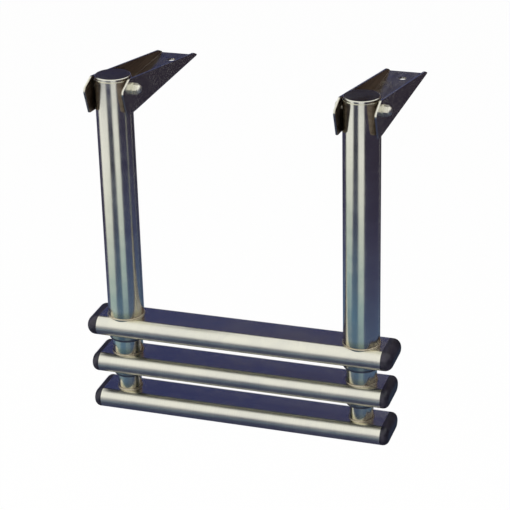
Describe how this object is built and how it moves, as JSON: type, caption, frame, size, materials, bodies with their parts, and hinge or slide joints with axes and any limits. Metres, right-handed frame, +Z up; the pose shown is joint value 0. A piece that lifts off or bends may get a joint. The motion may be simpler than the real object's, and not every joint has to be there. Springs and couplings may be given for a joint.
{
  "type": "telescopic ladder",
  "caption": "Stainless telescopic boarding ladder, drawn closed, with flat oval treads, swinging from two bolt-down channel brackets.",
  "frame": {"origin": "on the flat underside of the left bracket, on its centre line, midway between its two bolt holes", "axes": "+Z up, +X along the treads from the left side to the right side, +Y back over the platform, away from the water"},
  "size_m": [0.333, 0.2138, 0.3735],
  "materials": {
    "tube_steel": "mirror polished stainless steel tube and its end cap",
    "tread_steel": "mirror polished stainless steel tube",
    "bracket_steel": "polished stainless steel sheet",
    "fixing_steel": "bright stainless steel bolt, washer and nut",
    "cap_plastic": "black moulded plastic",
    "guide_plastic": "dark moulded plastic bush"
  },
  "bodies": {
    "brackets": {"left_bracket": "bracket_steel", "left_pivot_bolt": "fixing_steel", "left_head_washer": "fixing_steel", "left_nut_washer": "fixing_steel", "left_pivot_nut": "fixing_steel", "right_bracket": "bracket_steel", "right_pivot_bolt": "fixing_steel", "right_head_washer": "fixing_steel", "right_nut_washer": "fixing_steel", "right_pivot_nut": "fixing_steel"},
    "upper_section": {"left_outer_tube": "tube_steel", "left_tube_cap": "tube_steel", "left_outer_guide": "guide_plastic", "right_outer_tube": "tube_steel", "right_tube_cap": "tube_steel", "right_outer_guide": "guide_plastic", "top_tread": "tread_steel", "top_tread_left_cap": "cap_plastic", "top_tread_right_cap": "cap_plastic"},
    "middle_section": {"left_middle_tube": "tube_steel", "left_middle_top_guide": "guide_plastic", "left_middle_guide": "guide_plastic", "right_middle_tube": "tube_steel", "right_middle_top_guide": "guide_plastic", "right_middle_guide": "guide_plastic", "middle_tread": "tread_steel", "middle_tread_left_cap": "cap_plastic", "middle_tread_right_cap": "cap_plastic"},
    "lower_section": {"left_inner_tube": "tube_steel", "left_inner_top_guide": "guide_plastic", "right_inner_tube": "tube_steel", "right_inner_top_guide": "guide_plastic", "bottom_tread": "tread_steel", "bottom_tread_left_cap": "cap_plastic", "bottom_tread_right_cap": "cap_plastic"}
  },
  "joints": [
    {"name": "ladder_swing", "type": "hinge", "parent": "brackets", "child": "upper_section", "pos_m": [0.129, -0.11, 0.026], "axis": [-1, 0, 0], "range_deg": [0, 270]},
    {"name": "middle_slide", "type": "slide", "parent": "upper_section", "child": "middle_section", "axis": [0, 0, -1], "range_m": [0, 0.215]},
    {"name": "lower_slide", "type": "slide", "parent": "middle_section", "child": "lower_section", "axis": [0, 0, -1], "range_m": [0, 0.215]}
  ]
}
